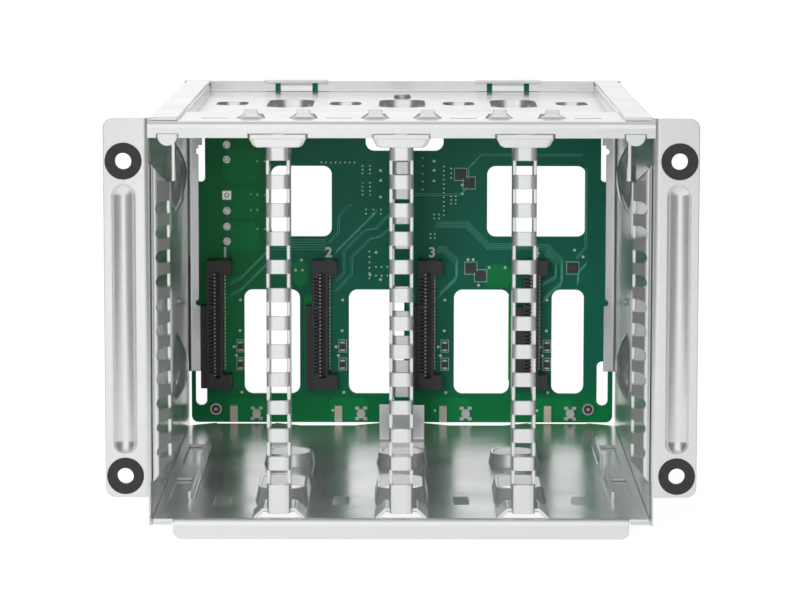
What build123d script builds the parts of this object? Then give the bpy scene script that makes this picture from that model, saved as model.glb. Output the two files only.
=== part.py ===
import math
import os

from build123d import *

# Hot swap drive cage for four upright drive carriers: a box of thin zinc-plated steel sheet,
# open at the front, with a backplane board standing across its rear end.
# X is to the right, +Y to the rear and +Z up. The origin is the centre of the footprint.
# All sizes are in millimetres.

# Overall box
bay_pitch = 36.8            # from one drive bay to the next
bay_count = 4
inner_width = 149.6         # between the inner faces of the side walls
cage_depth = 188.0          # from the ears' front faces to the board's front face
cage_height = 127.0         # three stacked half-height bays of a tower case
sheet = 1.0                 # thickness of every sheet-metal wall
bend = 1.0                  # inner radius of the sheet-metal bends
seam = 0.1                  # gap between sheets that lie on each other side by side

# Floor pan
lip_drop = 5.1              # how far the floor's turned-down lips reach below it
lip_length = 137.2
lip_corner = 1.6            # chamfer at the lower corners of the lips
seat_offset = 54.9          # centre of the outer board seats, from the middle
seat_width = 20.6
middle_seat_width = 15.4
notch_depth = 6.0           # shallow air gaps in the floor's rear edge, between the seats
notch_run = 9.0             # length of the gentle slope at each end of an air gap

# Side walls and ears
wall_return = 6.4           # inward flange of a side wall, under the floor
wall_top_return = 9.0       # inward flange of a side wall, over the cover
ear_width = 12.9            # how far an ear reaches out of its wall
ear_bottom = 12.8
ear_drop = 0.2              # from the top of the cage down to the ear's top edge
ear_corner = 3.0
bolt_span_x = 165.5         # between the fixing holes of the two ears
bolt_span_z = 94.8
bolt_low_z = 19.2           # height of the lower pair of fixing holes
ear_rib_length = 81.4
ear_rib_width = 7.0
ear_rib_depth = 1.9
rear_flange = 4.6           # width of the wall's flange that the board lies against
rear_flange_bottom = 24.6
rear_flange_top = 104.2
rear_flange_step = 48.8     # height of the round bite, where the flange gets wider
rear_flange_extra = 0.5     # it is wider by this much below the bite, and at its top
rear_flange_top_extra = 1.3
rear_flange_bite = 1.1

# Rubber grommets in the ears
grommet_diameter = 11.0
grommet_bore = 5.0
grommet_waist = 7.4         # hole in the ear that the grommet's waist fills
grommet_proud = 0.7         # height of each rubber face above the sheet

# Divider posts and the side ladders, with their rungs
post_width = 7.15
post_depth = 14.0
post_foot = 1.6             # from the floor up to the lower end of a post's web
rung_pitch = 8.486
rung_window = 4.3           # height of one window between two rungs
rung_count = 12
first_window_z = 18.7       # centre height of the lowest window of a post
head_width = 17.3
head_height = 3.9
head_foot_width = 14.4
head_corner = 1.5
head_edge = 0.6             # rounded front edge of the heads and the caps
head_sink = 1.2             # how far the heads reach up into the cover's front edge
crest_x = 69.4              # crest of a side ladder, where its slanting web turns to the rear
crest_y = 5.8
ladder_fold = 0.6           # from the ears' front faces to the ladder's front fold
ladder_depth = 14.0
ladder_top = 113.1          # at the wall; both ends slope down or up to the crest
ladder_slope = 5.7
side_window_pitch = 7.35
side_window = 3.9
side_window_count = 11
side_first_z = 26.3
side_window_reach = 3.9     # from the crest out to the rounded end of a side window
side_window_depth = 7.4
cap_width = 6.0             # half-round tab at the top of each side ladder
cap_height = 3.5
cap_x = 69.6
stem_x = 67.85              # upright strip below the cap, further in than the crest
stem_bottom = 108.2
stem_slope = 1.6

# Middle post at the rear of the cage, on a tab bent up from the floor
rear_post_front = 150.0     # behind the ears' front faces
rear_tab_width = 15.4
rear_tab_height = 12.2

# Guides pressed out of the sheets, one row on each divider line
drum_height = 4.0
drum_width = 16.6
front_drum_y = 44.0
front_drum_length = 44.5
rear_drum_y = 103.0
rear_drum_length = 21.5
front_drum_ramp = 8.0       # sloping ends of the front and the rear collars
rear_drum_ramp = 2.4
drum_draft = 0.8            # how far a drum's side leans in, from its foot to its rim
ramp_front = 24.7           # small ramps in the middle of the bays
ramp_length = 9.0
ramp_width = 4.8
ramp_rise = 1.0
side_openings = [(31.0, 42.5), (100.0, 39.5)]   # start and length of the floor's side openings
side_opening_x = 69.0
side_opening_width = 6.0
side_tab_height = 3.0
bridge_rise = 2.9
bridge_base = 15.6
bridge_flat = 9.6
bridge_front = 2.4
bridge_length = 15.0
bead_height = 4.0           # oval guide beads pressed into the side walls
bead_length = 23.1
bead_width = 15.0
bead_y = 118.0
bead_low_z = 36.0
bead_high_z = 98.6
pip_radius = 1.5
pip_z = 57.8

# Top cover
lintel_height = 6.1         # from the walls' top flanges down to the lintel's lower edge
sink = 4.0                  # depth of the sunk middle below the walls' top flanges
plateau = 43.0              # front strip of the cover that stays high
press_bend = 0.4            # inner radius of the sunk middle's tight bends
cover_slot_width = 15.2
cover_slot_length = 41.0
cover_slot_y = 123.5
cover_slot_short = 10.4
cover_slot_short_length = 19.5
cover_slot_ramp = 0.8
front_pitch = 37.4          # slots and fingers over the bays stand a little wider than those
front_slot_width = 8.0
front_slot_length = 3.0
front_slot_y = 13.4
finger_offset = 7.9         # fingers stand in pairs, this far from the pair's middle
finger_y = 11.4
finger_rise = 2.6           # height of the upright fingers above the cover
finger_root = 7.0
finger_foot = 4.6
finger_root_height = 0.3    # above the cover, where the root ends and where the foot begins
finger_foot_height = 1.0
finger_tip = 3.8
finger_gap = 9.0            # opening behind each finger: width at the front and at the rear
finger_gap_rear = 5.6
finger_gap_length = 22.0
clip_bar = 21.8             # T-shaped clips that hold the board's top edge
clip_bar_depth = 3.4
clip_tongue = 11.2
clip_notch = 14.6
rivet_diameter = 5.8
rivet_height = 1.3
rivet_shank = 2.9
rivet_shoulder = 5.0        # where the head's round edge turns over, and its height there
rivet_shoulder_height = 0.95
rivet_back = 4.0            # from the rear post's front to the rivet's middle

# Backplane board
board_thickness = 1.6
board_gap = 0.7             # between the board's side edge and the wall
board_lift = 1.2            # from the floor's underside up to the board's lower edge
board_corner = 2.4
window_corner = 3.0
connector_shift = 10.3      # connector's middle, to the left of its bay's middle
connector_length = 45.2
connector_z = 36.6          # connector's middle above the floor's underside
connector_body = 5.4
connector_end = 8.6         # end blocks, from the body's left side
connector_end_height = 5.0
connector_reach = 8.4       # how far a connector stands in front of the board
connector_slot = 2.4
connector_slot_edge = 0.6       # from the slot to the connector's right side
connector_slot_length = 37.2
connector_slot_depth = 5.5
connector_ledge = 2.3       # lower step along the left side of a connector's lower part
ledge_height = 29.0
ledge_sink = 2.5
contact_pitch = 1.27
groove_width = 1.8          # contact grooves beside the slot
groove_height = 0.6
groove_edge = 0.7
groove_depth = 2.0
upper_contacts = 8
lower_contacts = 18
tail_size = 0.6             # solder tails of the contacts
rear_connector_depth = 11.0 # how far the sockets stand behind the board
socket_wall = 1.0
power_x = -61.4
power_width = 9.0
power_pin = 1.6
power_pad = 3.1
pad_height = 0.5
power_pins = (98.0, 92.8, 80.3, 74.8, 69.3, 64.1)
cable_width = 10.5
cable_length = 25.0
cable_tongue = 2.6
cable_places = [(-10.4, 80.0), (16.7, 80.0)]
lamp_z = 3.2                # centre of the lamps above the board's lower edge
lamp_height = 5.6
lamp_reach = 1.8
slim_lamp = 2.6
slim_lamp_shift = 4.0       # slim lamp's centre, to the left of its bay's middle
slim_lens_width = 1.6
slim_lens_height = 3.0
lens_height = 0.6
square_lamp_width = 2.3
square_lamp_height = 3.1
square_lens = 1.5           # radius
square_lamp_shift = 4.0     # to the right of the bay's middle
lamp_leg_width = 1.4
lamp_leg_height = 1.1
lamp_leg_x = 1.4            # middles of the four legs, from the lamp's middle
lamp_leg_z = 1.85
chip_width = 3.4
chip_length = 2.7
chip_height = 1.1
chip_places = [(24.1, 54.7), (27.5, 52.0), (59.8, 54.8), (20.4, 87.7), (23.4, 84.7)]
two_pin_length = 3.4
two_pin_width = 1.4
two_pin_shift = 3.2         # to the left of the bay's middle
two_pin_heights = (27.1, 20.7)

board_screw = 4.2           # head of the two screws at the board's lower corners
board_screw_shank = 2.1
board_screw_socket = 1.3    # radius of the hexagon
board_screw_x = 65.5
board_screw_z = 4.8
screw_head = 1.3
# Openings of the board as left, right, lower and upper edge, above the board's lower edge; the
# last three run out through the board's upper edge
board_windows = [
    (-45.9, -24.7, 65.8, 90.6),
    (29.7, 64.2, 65.8, 90.6),
    (-55.4, -35.9, 10.2, 47.1),
    (-18.7, 0.7, 10.2, 47.1),
    (18.2, 37.6, 10.2, 47.1),
    (52.5, 63.8, 10.2, 47.1),
    (-72.6, -68.7, 6.0, 21.7),
    (68.5, 72.4, 6.0, 21.7),
    (-72.1, -69.0, 85.0, 130.0),
    (69.5, 72.4, 85.0, 130.0),
    (-12.8, 14.4, 95.9, 130.0),
]

# Places worked out from the sizes above
total_depth = grommet_proud + cage_depth + board_thickness + rear_connector_depth
y_front = -total_depth / 2 + grommet_proud      # front faces of the ears and posts
y_board = y_front + cage_depth                  # front face of the board
z_floor = lip_drop                              # underside of the floor
z_deck = z_floor + sheet                        # upper side of the floor
z_top = cage_height                             # upper side of the walls' top flanges
z_cover = z_top - sheet - seam                  # upper side of the cover's front strip
z_sink = z_top - sink                           # upper side of the cover's sunk middle
wall_x = inner_width / 2                        # inner face of a side wall
outer_x = wall_x + sheet
ear_x = outer_x + ear_width
bay_lines = [bay_pitch * (n - (bay_count - 1) / 2) for n in range(bay_count)]
post_lines = [bay_pitch * (n - (bay_count - 2) / 2) for n in range(bay_count - 1)]
bolt_high_z = bolt_low_z + bolt_span_z
mid_bend = bend + sheet / 2                     # bend radius on the sheet's middle line
half = sheet / 2
front_lines = [front_pitch * (n - (bay_count - 2) / 2) for n in range(bay_count - 1)]
slot_lines = [front_pitch * (n - (bay_count - 1) / 2) for n in range(bay_count)]
rivet_y = rear_post_front + rivet_back
z_lamp = z_floor + board_lift + lamp_z

os.makedirs("parts", exist_ok=True)


def press_bridges(places, z_middle, rise, base, flat, front, length):
    """Cut a strip loose along its two long sides and press it up (or down) into a flat arch."""
    with BuildSketch(Plane.XY.offset(z_middle - half)) as strip:
        with Locations(*[(x, front + length / 2) for x in places]):
            Rectangle(base, length)
    extrude(strip.sketch, amount=sheet, mode=Mode.SUBTRACT)
    with BuildSketch(Plane.XZ.offset(-front)) as arch:
        for x in places:
            with BuildLine():
                FilletPolyline(
                    (x - base / 2 - sheet, z_middle),
                    (x - base / 2, z_middle),
                    (x - flat / 2, z_middle + rise),
                    (x + flat / 2, z_middle + rise),
                    (x + base / 2, z_middle),
                    (x + base / 2 + sheet, z_middle),
                    radius=half,
                )
            trace(line_width=sheet)
    extrude(arch.sketch, amount=-length)


def draw_drums(places, z_near, side, width, length, ramp):
    """Draw oblong collars out of a sheet, up (side 1) or down (side -1), each round its own hole."""
    corner = 0.42 * min(width, length)
    reach = drum_height + sheet
    ramp_inset = sheet * math.hypot(1, ramp / reach)
    for x, y in places:
        for inset, end_inset, mode in ((0, 0, Mode.ADD), (sheet, ramp_inset, Mode.SUBTRACT)):
            with BuildSketch(Plane((x, y, z_near))) as foot:
                RectangleRounded(width - 2 * inset, length - 2 * end_inset, corner - inset)
            with BuildSketch(Plane((x, y, z_near + side * reach))) as rim:
                taken = inset + drum_draft
                RectangleRounded(
                    width - 2 * taken, length - 2 * (end_inset + ramp), corner - taken
                )
            loft([foot.sketch, rim.sketch], mode=mode)


# Floor pan: a flat plate between the walls, with a turned-down lip at the front and under
# each seat of the board, and the guides pressed up along the divider lines
with BuildPart() as floor_pan:
    lip_root = bend + sheet
    seats = [(0, middle_seat_width), (seat_offset, seat_width), (-seat_offset, seat_width)]
    gap_ends = [
        (middle_seat_width / 2, seat_offset - seat_width / 2),
        (seat_offset + seat_width / 2, wall_x + notch_run),
    ]
    with BuildSketch(Plane.XY.offset(z_floor)):
        with Locations((0, y_front + cage_depth / 2)):
            Rectangle(inner_width - 2 * seam, cage_depth - 2 * seam)
        for start, end in gap_ends:
            for side in (-1, 1):
                with BuildLine():
                    Polyline(
                        (side * start, y_board),
                        (side * (start + notch_run), y_board - notch_depth),
                        (side * (end - notch_run), y_board - notch_depth),
                        (side * end, y_board),
                        close=True,
                    )
                make_face(mode=Mode.SUBTRACT)
        with Locations((0, y_front)):
            Rectangle(lip_length, 2 * lip_root, mode=Mode.SUBTRACT)
        for middle, width in seats:
            with Locations((middle, y_board - seam)):
                Rectangle(width, 2 * lip_root, mode=Mode.SUBTRACT)
    extrude(amount=sheet)
    # Rounded lower edges, which lie in the bends of the side walls' lower returns
    fillet(
        floor_pan.edges().filter_by(Axis.Y).filter_by_position(
            Axis.Z, z_floor - seam, z_floor + seam
        ).sort_by(Axis.X)[0],
        bend - seam,
    )
    fillet(
        floor_pan.edges().filter_by(Axis.Y).filter_by_position(
            Axis.Z, z_floor - seam, z_floor + seam
        ).sort_by(Axis.X)[-1],
        bend - seam,
    )

    bent_edges = [(0, lip_length, y_front, 1)]
    bent_edges += [(middle, width, y_board - seam, -1) for middle, width in seats]
    for middle, width, edge, inward in bent_edges:
        with BuildSketch(Plane.YZ.offset(middle - width / 2)):
            with BuildLine():
                FilletPolyline(
                    (edge + inward * 2 * lip_root, z_floor + half),
                    (edge + inward * half, z_floor + half),
                    (edge + inward * half, 0),
                    radius=mid_bend,
                )
            trace(line_width=sheet)
        extrude(amount=width)
    chamfer(floor_pan.edges().filter_by(Axis.Y).group_by(Axis.Z)[0], lip_corner)

    for drum_y, drum_length, ramp in (
        (front_drum_y, front_drum_length, front_drum_ramp),
        (rear_drum_y, rear_drum_length, rear_drum_ramp),
    ):
        drum_places = [(x, y_front + drum_y) for x in post_lines]
        draw_drums(drum_places, z_floor, 1, drum_width, drum_length, ramp)
    press_bridges(
        post_lines, z_floor + half, bridge_rise, bridge_base, bridge_flat,
        y_front + bridge_front, bridge_length,
    )
    # Small ramps in the middle of every bay, rising to the rear
    with BuildSketch(Plane.XY.offset(z_floor)):
        with Locations(*[(x, y_front + ramp_front + ramp_length / 2) for x in bay_lines]):
            Rectangle(ramp_width + 2 * seam, ramp_length)
    extrude(amount=sheet, mode=Mode.SUBTRACT)
    for bay_x in bay_lines:
        with BuildSketch(Plane.YZ.offset(bay_x - ramp_width / 2)):
            with BuildLine():
                Line(
                    (y_front + ramp_front - seam, z_floor + half),
                    (y_front + ramp_front + ramp_length - seam, z_floor + half + ramp_rise),
                )
            trace(line_width=sheet)
        extrude(amount=ramp_width)
    # Openings beside the walls, whose sheet is bent up along their inner edges
    for side in (-1, 1):
        for start, run in side_openings:
            with BuildSketch(Plane.XY.offset(z_floor)):
                with Locations((side * side_opening_x, y_front + start + run / 2)):
                    Rectangle(side_opening_width, run)
            extrude(amount=sheet, mode=Mode.SUBTRACT)
            tab_x = side_opening_x - side_opening_width / 2 - half
            with BuildSketch(Plane.XZ.offset(-(y_front + start))):
                with BuildLine():
                    FilletPolyline(
                        (side * (tab_x - mid_bend - sheet), z_floor + half),
                        (side * tab_x, z_floor + half),
                        (side * tab_x, z_deck + side_tab_height),
                        radius=mid_bend,
                    )
                trace(line_width=sheet)
            extrude(amount=-run)
    # Tab bent up from the floor, which carries the middle rear post
    rear_tab_y = y_front + rear_post_front - half - seam
    with BuildSketch(Plane.YZ.offset(-rear_tab_width / 2)):
        with BuildLine():
            FilletPolyline(
                (rear_tab_y - mid_bend - sheet, z_floor + half),
                (rear_tab_y, z_floor + half),
                (rear_tab_y, z_deck + rear_tab_height),
                radius=mid_bend,
            )
        trace(line_width=sheet)
    extrude(amount=rear_tab_width)
floor_pan.part.label = "floor_pan"
export_step(floor_pan.part, "parts/floor_pan.step")


# Forms that are pressed into the side walls and the ears, each with the shape it leaves inside
bead_axis = (bead_width**2 / 4 - bead_height**2) / (2 * bead_height)
groove_radius = (ear_rib_width**2 / 4 + ear_rib_depth**2) / (2 * ear_rib_depth)


def bead_body(thinner):
    """Profile of an oval bead, to turn round the bead's upright axis."""
    root = bead_axis - thinner - seam
    with BuildSketch(Plane.XZ) as profile:
        with BuildLine():
            ThreePointArc(
                (root, -bead_length / 2),
                (bead_axis + bead_height - thinner, 0),
                (root, bead_length / 2),
            )
            Polyline((root, bead_length / 2), (0, bead_length / 2), (0, -bead_length / 2),
                     (root, -bead_length / 2))
        make_face()
    return profile.sketch


with BuildPart() as bead_form:
    revolve(bead_body(0), axis=Axis.Z)
    split(bisect_by=Plane.YZ.offset(bead_axis - half), keep=Keep.TOP)
with BuildPart() as bead_hollow:
    revolve(bead_body(sheet), axis=Axis.Z)
with BuildPart() as groove_form:
    groove_run = ear_rib_length - ear_rib_width
    Cylinder(groove_radius + sheet, groove_run)
    with Locations((0, 0, groove_run / 2), (0, 0, -groove_run / 2)):
        Sphere(groove_radius + sheet)
    split(bisect_by=Plane.XZ.offset(-(groove_radius - ear_rib_depth)), keep=Keep.BOTTOM)
with BuildPart() as groove_hollow:
    Cylinder(groove_radius, groove_run)
    with Locations((0, 0, groove_run / 2), (0, 0, -groove_run / 2)):
        Sphere(groove_radius)

# Side walls: ear, wall and rear flange are one bent strip; the inward returns at the top and
# the bottom of the wall carry the cover and lie under the floor
with BuildPart() as right_side_wall:
    wall_bottom = z_floor - sheet - seam
    ear_top = z_top - ear_drop
    middle_x = wall_x + half
    wall_rear = y_board - seam
    flange_x = outer_x - rear_flange
    flange_low_x = flange_x - rear_flange_extra
    flange_top_x = flange_x - rear_flange_top_extra
    with BuildSketch(Plane.XY.offset(wall_bottom)):
        with BuildLine():
            FilletPolyline(
                (ear_x, y_front + half),
                (middle_x, y_front + half),
                (middle_x, wall_rear - half),
                (flange_top_x, wall_rear - half),
                radius=mid_bend,
            )
        trace(line_width=sheet)
    extrude(amount=ear_top - wall_bottom)
    # Room for the lintel's end, and the rear flange is cut back at both ends
    lintel_bottom = z_top - lintel_height
    with BuildSketch(Plane.XZ.offset(-(y_front - seam))):
        with Locations((outer_x, lintel_bottom - seam)):
            Rectangle(lip_root, lip_root + lintel_height, align=(Align.MAX, Align.MIN))
    extrude(amount=-(lip_root + 2 * seam), mode=Mode.SUBTRACT)
    with BuildSketch(Plane.XZ.offset(-(wall_rear - lip_root))):
        with BuildLine():
            bite_z = rear_flange_step
            inner = flange_top_x - sheet
            under_cover = z_cover - sheet - seam
            Polyline(
                (inner, z_top), (inner, rear_flange_bottom), (flange_low_x, rear_flange_bottom),
                (flange_low_x, bite_z), (flange_x, bite_z), (flange_x, rear_flange_top),
                (flange_top_x, rear_flange_top), (flange_top_x, under_cover),
                (wall_x, under_cover), (wall_x, z_top),
                close=True,
            )
        make_face()
        with Locations((flange_x, bite_z), (flange_x, rear_flange_top - 2 * rear_flange_bite)):
            Circle(rear_flange_bite)
        with Locations((flange_low_x, wall_bottom)):
            Rectangle(2 * (wall_x - flange_low_x), 2 * (rear_flange_bottom - wall_bottom))
    extrude(amount=-2 * lip_root, mode=Mode.SUBTRACT)
    # Upper and lower returns, on the straight part of the wall
    return_start = y_front + lip_root + 2 * seam
    return_run = wall_rear - lip_root - seam - return_start
    with BuildSketch(Plane.XZ.offset(-return_start)):
        with BuildLine():
            FilletPolyline(
                (outer_x - wall_top_return, z_top - half),
                (middle_x, z_top - half),
                (middle_x, wall_bottom + half),
                (outer_x - wall_return, wall_bottom + half),
                radius=mid_bend,
            )
        trace(line_width=sheet)
    extrude(amount=-return_run)
    # The strip's square edges give way to the bends of the returns
    with BuildSketch(Plane.XZ.offset(-return_start)):
        for edge_z, up in ((z_top, 1), (wall_bottom, -1)):
            with BuildLine():
                Polyline(
                    (outer_x, edge_z - up * lip_root), (outer_x + seam, edge_z - up * lip_root),
                    (outer_x + seam, edge_z + up * seam), (outer_x - lip_root, edge_z + up * seam),
                    (outer_x - lip_root, edge_z),
                )
                RadiusArc(
                    (outer_x - lip_root, edge_z), (outer_x, edge_z - up * lip_root), up * lip_root
                )
            make_face()
    extrude(amount=-return_run, mode=Mode.SUBTRACT)
    # Ear: lower end, rounded corners, holes for the grommets and the long groove
    with BuildSketch(Plane.XZ.offset(-y_front)):
        with Locations((outer_x + ear_width / 2 + seam, (wall_bottom + ear_bottom) / 2)):
            Rectangle(ear_width + 2 * seam, ear_bottom - wall_bottom)
        with Locations((bolt_span_x / 2, bolt_low_z), (bolt_span_x / 2, bolt_high_z)):
            Circle(grommet_waist / 2)
    extrude(amount=-lip_root, mode=Mode.SUBTRACT)
    fillet(right_side_wall.edges().filter_by(Axis.Y).sort_by(Axis.X)[-2:], ear_corner)
    groove_y = y_front - (groove_radius - ear_rib_depth)
    with Locations((bolt_span_x / 2, groove_y, (bolt_low_z + bolt_high_z) / 2)):
        add(groove_form.part)
        add(groove_hollow.part, mode=Mode.SUBTRACT)
    # Guide beads and a small pip between them, pressed inwards
    bead_places = [(wall_x + bead_axis, y_front + bead_y, z) for z in (bead_low_z, bead_high_z)]
    with Locations(*[Location(place, (0, 0, 180)) for place in bead_places]):
        add(bead_form.part)
        add(bead_hollow.part, mode=Mode.SUBTRACT)
    with Locations(Location((wall_x + half, y_front + bead_y, pip_z), (0, -90, 0))):
        Cone(pip_radius, pip_radius / 2, pip_radius + half, align=(Align.CENTER, Align.CENTER, Align.MIN))
right_side_wall.part.label = "right_side_wall"
export_step(right_side_wall.part, "parts/right_side_wall.step")

with BuildPart() as left_side_wall:
    mirror(right_side_wall.part, about=Plane.YZ)
left_side_wall.part.label = "left_side_wall"
export_step(left_side_wall.part, "parts/left_side_wall.step")


def channel(plane, middle, front, width, depth):
    """Cross-section of a U-shaped channel, open to the rear."""
    with BuildSketch(plane) as section:
        with BuildLine():
            FilletPolyline(
                (middle - width / 2 + half, front + depth),
                (middle - width / 2 + half, front + half),
                (middle + width / 2 - half, front + half),
                (middle + width / 2 - half, front + depth),
                radius=mid_bend,
            )
        trace(line_width=sheet)
    return section.sketch


def rung_windows(middle, front, width, heights, window):
    """Windows punched through a channel's web and its bends, so that rungs stay between them."""
    with BuildSketch(Plane.XZ.offset(-front)) as windows:
        with Locations(*[(middle, z) for z in heights]):
            Rectangle(width, window)
    extrude(windows.sketch, amount=-(lip_root + seam), mode=Mode.SUBTRACT)


# Divider posts: bent channels, each with a ladder of rungs in its web and a wide head that
# fills a notch in the cover's front edge
post_bottom = z_deck + post_foot
head_top = z_top - lintel_height + head_sink
post_windows = [first_window_z + rung_pitch * n for n in range(rung_count)]
with BuildPart() as post_head:
    with BuildSketch(Plane.XZ.offset(-y_front)) as head_outline:
        with BuildLine():
            Polyline(
                (-head_foot_width / 2, head_top - head_height),
                (head_foot_width / 2, head_top - head_height),
                (head_width / 2, head_top - head_height / 3),
                (head_width / 2, head_top),
                (-head_width / 2, head_top),
                (-head_width / 2, head_top - head_height / 3),
                close=True,
            )
        make_face()
        fillet(head_outline.vertices().group_by(Axis.Y)[0], head_corner)
    extrude(amount=-sheet)
    fillet(post_head.edges().group_by(Axis.Y)[0], head_edge)
for number, post_x in enumerate(post_lines, start=1):
    with BuildPart() as divider_post:
        extrude(
            channel(Plane.XY.offset(post_bottom), post_x, y_front, post_width, post_depth),
            amount=head_top - post_bottom,
        )
        # The sides of the channel clear the floor's bridges
        with BuildSketch(Plane.XZ.offset(-(y_front + lip_root))):
            with Locations((post_x, z_deck)):
                Rectangle(post_width, 2 * (bridge_rise + 2 * seam))
        extrude(amount=-post_depth, mode=Mode.SUBTRACT)
        rung_windows(post_x, y_front, post_width, post_windows, rung_window)
        add(post_head.part.moved(Location((post_x, 0, 0))))
    divider_post.part.label = f"divider_post_{number}"
    export_step(divider_post.part, f"parts/divider_post_{number}.step")

# Side ladders: strips folded along the front edges of the walls, whose slanting webs give the
# outer bays the same clear width as the middle ones. Both ends slope, and a half-round tab on
# an upright strip stands above the upper end
with BuildPart() as right_side_ladder:
    fold_y = y_front + ladder_fold - sheet
    ladder_x = wall_x - seam - half
    ladder_bottom = side_first_z - side_window / 2 - side_window_pitch
    with BuildSketch(Plane.XY.offset(ladder_bottom)):
        with BuildLine():
            FilletPolyline(
                (ladder_x, y_front + ladder_depth),
                (ladder_x, fold_y),
                (crest_x + half, y_front + crest_y),
                (crest_x + half, y_front + ladder_depth),
                radius=half + seam,
            )
        trace(line_width=sheet)
    extrude(amount=ladder_top - ladder_bottom)
    with BuildSketch(Plane.XZ.offset(-(y_front - sheet))):
        for end_z, up in ((ladder_top, 1), (ladder_bottom, -1)):
            with BuildLine():
                Polyline(
                    (wall_x - seam, end_z),
                    (crest_x + half, end_z - up * ladder_slope),
                    (crest_x - sheet, end_z - up * ladder_slope),
                    (crest_x - sheet, end_z + up * sheet),
                    (wall_x - seam, end_z + up * sheet),
                    close=True,
                )
            make_face()
    extrude(amount=-(ladder_depth + lip_root), mode=Mode.SUBTRACT)
    side_windows = [side_first_z + side_window_pitch * n for n in range(side_window_count)]
    with BuildSketch(Plane.XZ.offset(-(y_front - sheet))):
        window_end = crest_x + side_window_reach - side_window / 2
        with Locations(*[(window_end, z) for z in side_windows]):
            Circle(side_window / 2)
            Rectangle(window_end - crest_x + sheet, side_window, align=(Align.MAX, Align.CENTER))
    extrude(amount=-(side_window_depth + sheet), mode=Mode.SUBTRACT)
    # The strip below the cap joins the inner flange from the front
    with BuildSketch(Plane.XY.offset(ladder_top - 2 * ladder_slope)):
        with BuildLine():
            FilletPolyline(
                (stem_x, y_front + half),
                (stem_x, y_front + crest_y),
                (crest_x + half, y_front + ladder_depth - 2 * lip_root),
                (crest_x + half, y_front + ladder_depth),
                radius=mid_bend,
            )
        trace(line_width=sheet)
    extrude(amount=head_top - ladder_top + 2 * ladder_slope)
    with BuildSketch(Plane.YZ.offset(stem_x - lip_root)):
        with BuildLine():
            Polyline(
                (y_front, stem_bottom),
                (y_front + ladder_depth - lip_root, stem_bottom - stem_slope),
                (y_front + ladder_depth - lip_root, ladder_bottom),
                (y_front, ladder_bottom),
                close=True,
            )
        make_face()
    extrude(amount=crest_x - stem_x + lip_root, mode=Mode.SUBTRACT)
    with BuildSketch(Plane.XZ.offset(-y_front)):
        with Locations((cap_x, head_top - cap_height + cap_width / 2)):
            Circle(cap_width / 2)
        with Locations((cap_x, head_top - cap_height / 2)):
            Rectangle(cap_width, cap_height, mode=Mode.INTERSECT)
    extrude(amount=-sheet)
right_side_ladder.part.label = "right_side_ladder"
export_step(right_side_ladder.part, "parts/right_side_ladder.step")
with BuildPart() as left_side_ladder:
    mirror(right_side_ladder.part, about=Plane.YZ)
left_side_ladder.part.label = "left_side_ladder"
export_step(left_side_ladder.part, "parts/left_side_ladder.step")

# Middle rear post: the same ladder channel, standing behind the floor's tab and riveted to
# the cover through a flange at its top
with BuildPart() as rear_centre_post:
    rear_post_y = rear_tab_y + half + seam
    rear_post_top = z_sink - sheet - seam
    extrude(
        channel(Plane.XY.offset(z_deck + seam), 0, rear_post_y, post_width, post_depth),
        amount=rear_post_top - z_deck - seam,
    )
    rung_windows(
        0, rear_post_y, post_width, [z for z in post_windows if z < rear_post_top - rung_pitch],
        rung_window,
    )
    with BuildSketch(Plane.XY.offset(rear_post_top - sheet)):
        with Locations((0, rear_post_y + post_depth / 2)):
            Rectangle(post_width, post_depth)
    extrude(amount=sheet)
    with Locations((0, y_front + rivet_y, rear_post_top)):
        Hole(rivet_shank / 2 + seam, sheet)
rear_centre_post.part.label = "rear_centre_post"
export_step(rear_centre_post.part, "parts/rear_centre_post.step")


# Top cover: a lintel at the front, and a plate with a sunk middle that lies under the walls'
# top flanges. It is the space below one stepped surface, less the same space one sheet lower
def stepped_space(thinner):
    """Space below the cover's upper surface, taken in by some thickness."""
    front = y_front + thinner
    lintel_rear = y_front + lip_root
    recess_x = outer_x - wall_top_return + thinner
    recess_front = y_front + plateau - thinner
    foot_bend = press_bend + thinner
    edge_bend = press_bend + sheet - thinner
    with BuildPart() as space:
        with BuildSketch(Plane.XY.offset(lintel_bottom)) as outline:
            with Locations((0, front)):
                Rectangle(2 * plate_x, cover_rear - front, align=(Align.CENTER, Align.MIN))
                Rectangle(2 * lintel_x, lintel_rear - front, align=(Align.CENTER, Align.MIN))
        extrude(outline.sketch, amount=z_cover - thinner - lintel_bottom)
        fillet(space.edges().filter_by(Axis.X).group_by(Axis.Z)[-1].sort_by(Axis.Y)[0],
               lip_root - thinner)
        with BuildSketch(Plane.XY.offset(z_sink - thinner)) as recess:
            with Locations((0, recess_front + cage_depth / 2)):
                RectangleRounded(2 * recess_x, cage_depth, foot_bend + bend)
        extrude(recess.sketch, amount=sink, mode=Mode.SUBTRACT)
        for level, radius in ((z_cover - thinner, edge_bend), (z_sink - thinner, foot_bend)):
            inside = space.edges().filter_by_position(Axis.X, -recess_x - seam, recess_x + seam)
            inside = inside.filter_by_position(Axis.Y, recess_front - seam, cover_rear - seam)
            fillet(inside.filter_by_position(Axis.Z, level - seam, level + seam), radius)
    return space.part


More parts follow.
